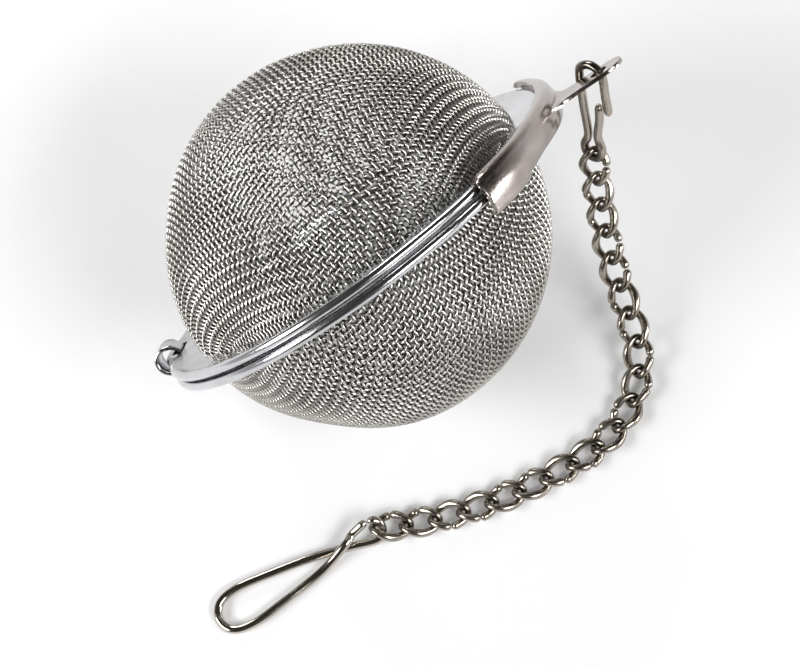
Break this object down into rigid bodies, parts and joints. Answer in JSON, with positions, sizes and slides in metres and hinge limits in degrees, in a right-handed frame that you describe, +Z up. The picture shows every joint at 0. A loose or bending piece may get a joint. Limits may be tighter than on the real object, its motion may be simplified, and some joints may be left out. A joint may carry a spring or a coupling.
{
  "type": "tea infuser",
  "caption": "Wire-mesh tea ball of two hinged halves with pressed rims, a spring clasp with a tongue, a curb chain and a bent-wire finger handle.",
  "frame": {"origin": "on the table, under the middle of the bounding box", "axes": "+Z up from the table, +X the long way, from the hinge towards the clasp, +Y towards the upper half of the ball, away from the handle"},
  "size_m": [0.086, 0.0612, 0.05],
  "materials": {
    "rim_steel": "bright rolled stainless strip with fine circular draw marks",
    "wire_cloth": "plain-woven stainless wire, slightly dull, sheared where it is pressed into a bowl",
    "clasp_steel": "bright pressed stainless sheet with light scuffs and folded edges",
    "chain_steel": "tumbled stainless wire, bright on top and darker where links rub",
    "handle_steel": "bright drawn stainless wire"
  },
  "bodies": {
    "lower_half": {"lower_rim": "rim_steel", "lower_mesh": "wire_cloth"},
    "upper_half": {"upper_rim": "rim_steel", "upper_mesh": "wire_cloth"},
    "clasp": {"clasp": "clasp_steel"},
    "hook_link": {"hook_link": "chain_steel"},
    "link_01": {"link_01": "chain_steel"},
    "link_02": {"link_02": "chain_steel"},
    "link_03": {"link_03": "chain_steel"},
    "link_04": {"link_04": "chain_steel"},
    "link_05": {"link_05": "chain_steel"},
    "link_06": {"link_06": "chain_steel"},
    "link_07": {"link_07": "chain_steel"},
    "link_08": {"link_08": "chain_steel"},
    "link_09": {"link_09": "chain_steel"},
    "link_10": {"link_10": "chain_steel"},
    "link_11": {"link_11": "chain_steel"},
    "link_12": {"link_12": "chain_steel"},
    "link_13": {"link_13": "chain_steel"},
    "link_14": {"link_14": "chain_steel"},
    "link_15": {"link_15": "chain_steel"},
    "link_16": {"link_16": "chain_steel"},
    "link_17": {"link_17": "chain_steel"},
    "link_18": {"link_18": "chain_steel"},
    "link_19": {"link_19": "chain_steel"},
    "handle": {"handle": "handle_steel"}
  },
  "joints": [
    {"name": "ball_hinge", "type": "hinge", "parent": "lower_half", "child": "upper_half", "pos_m": [-0.02559, 0.01102, 0.01878], "axis": [-0.2756, -0.5446, 0.7921], "range_deg": [0, 130]},
    {"name": "clasp_pivot", "type": "hinge", "parent": "lower_half", "child": "clasp", "pos_m": [0.02411, 0.00076, 0.02902], "axis": [0.2756, 0.5446, -0.7921], "range_deg": [0, 22]},
    {"name": "hook_swing", "type": "hinge", "parent": "clasp", "child": "hook_link", "pos_m": [0.03885, 0.00082, 0.03219], "axis": [-0.8085, -0.3334, 0.4849], "range_deg": [-15, 20]},
    {"name": "link_01_sway", "type": "hinge", "parent": "hook_link", "child": "link_01", "pos_m": [0.03388, -0.0032, 0.02113], "axis": [-0.5427, -0.6063, 0.5812], "range_deg": [-8, 12]},
    {"name": "link_02_lift", "type": "hinge", "parent": "link_01", "child": "link_02", "pos_m": [0.03235, -0.00491, 0.01792], "axis": [-0.7934, 0.6088, 0], "range_deg": [-18, 18]},
    {"name": "link_03_sway", "type": "hinge", "parent": "link_02", "child": "link_03", "pos_m": [0.03084, -0.00687, 0.01484], "axis": [0.4031, 0.6167, -0.6761], "range_deg": [-18, 16]},
    {"name": "link_04_lift", "type": "hinge", "parent": "link_03", "child": "link_04", "pos_m": [0.02938, -0.00911, 0.01193], "axis": [0.876, -0.4824, 0], "range_deg": [-18, 18]},
    {"name": "link_05_sway", "type": "hinge", "parent": "link_04", "child": "link_05", "pos_m": [0.02799, -0.01164, 0.00923], "axis": [-0.255, -0.5594, 0.7887], "range_deg": [-15, 18]},
    {"name": "link_06_lift", "type": "hinge", "parent": "link_05", "child": "link_06", "pos_m": [0.0267, -0.01447, 0.0068], "axis": [-0.9386, 0.345, 0], "range_deg": [-18, 18]},
    {"name": "link_07_sway", "type": "hinge", "parent": "link_06", "child": "link_07", "pos_m": [0.02554, -0.01762, 0.00471], "axis": [0.1521, 0.3967, -0.9053], "range_deg": [-18, 15]},
    {"name": "link_08_lift", "type": "hinge", "parent": "link_07", "child": "link_08", "pos_m": [0.02426, -0.02096, 0.00303], "axis": [0.8097, -0.5868, 0], "range_deg": [-11, 18]},
    {"name": "link_09_sway", "type": "hinge", "parent": "link_08", "child": "link_09", "pos_m": [0.02205, -0.02401, 0.00185], "axis": [-0.1219, -0.0991, 0.9876], "range_deg": [-7, 18]},
    {"name": "link_10_lift", "type": "hinge", "parent": "link_09", "child": "link_10", "pos_m": [0.01902, -0.02647, 0.00123], "axis": [-0.4092, 0.9124, 0], "range_deg": [-18, 11]},
    {"name": "link_11_sway", "type": "hinge", "parent": "link_10", "child": "link_11", "pos_m": [0.01542, -0.02809, 0.00121], "axis": [0, 0, -1], "range_deg": [-18, 15]},
    {"name": "link_12_lift", "type": "hinge", "parent": "link_11", "child": "link_12", "pos_m": [0.01152, -0.02872, 0.00121], "axis": [-0.0904, -0.9959, 0], "range_deg": [-18, 18]},
    {"name": "link_13_sway", "type": "hinge", "parent": "link_12", "child": "link_13", "pos_m": [0.00758, -0.02836, 0.00121], "axis": [0, 0, 1], "range_deg": [-18, 18]},
    {"name": "link_14_lift", "type": "hinge", "parent": "link_13", "child": "link_14", "pos_m": [0.00368, -0.02775, 0.00121], "axis": [0.2156, 0.9765, 0], "range_deg": [-18, 18]},
    {"name": "link_15_sway", "type": "hinge", "parent": "link_14", "child": "link_15", "pos_m": [-0.00018, -0.0269, 0.00121], "axis": [0, 0, -1], "range_deg": [-18, 18]},
    {"name": "link_16_lift", "type": "hinge", "parent": "link_15", "child": "link_16", "pos_m": [-0.00397, -0.02581, 0.00121], "axis": [-0.3374, -0.9414, 0], "range_deg": [-18, 18]},
    {"name": "link_17_sway", "type": "hinge", "parent": "link_16", "child": "link_17", "pos_m": [-0.00769, -0.02448, 0.00121], "axis": [0, 0, 1], "range_deg": [-18, 18]},
    {"name": "link_18_lift", "type": "hinge", "parent": "link_17", "child": "link_18", "pos_m": [-0.01132, -0.02291, 0.00121], "axis": [0.4538, 0.8911, 0], "range_deg": [-18, 18]},
    {"name": "link_19_sway", "type": "hinge", "parent": "link_18", "child": "link_19", "pos_m": [-0.01484, -0.02112, 0.00121], "axis": [-0.1467, 0.0869, -0.9854], "range_deg": [-18, 18]},
    {"name": "handle_lift", "type": "hinge", "parent": "link_19", "child": "handle", "pos_m": [-0.01819, -0.01913, 0.00189], "axis": [-0.1392, -0.9903, 0], "range_deg": [-4, 20]}
  ]
}
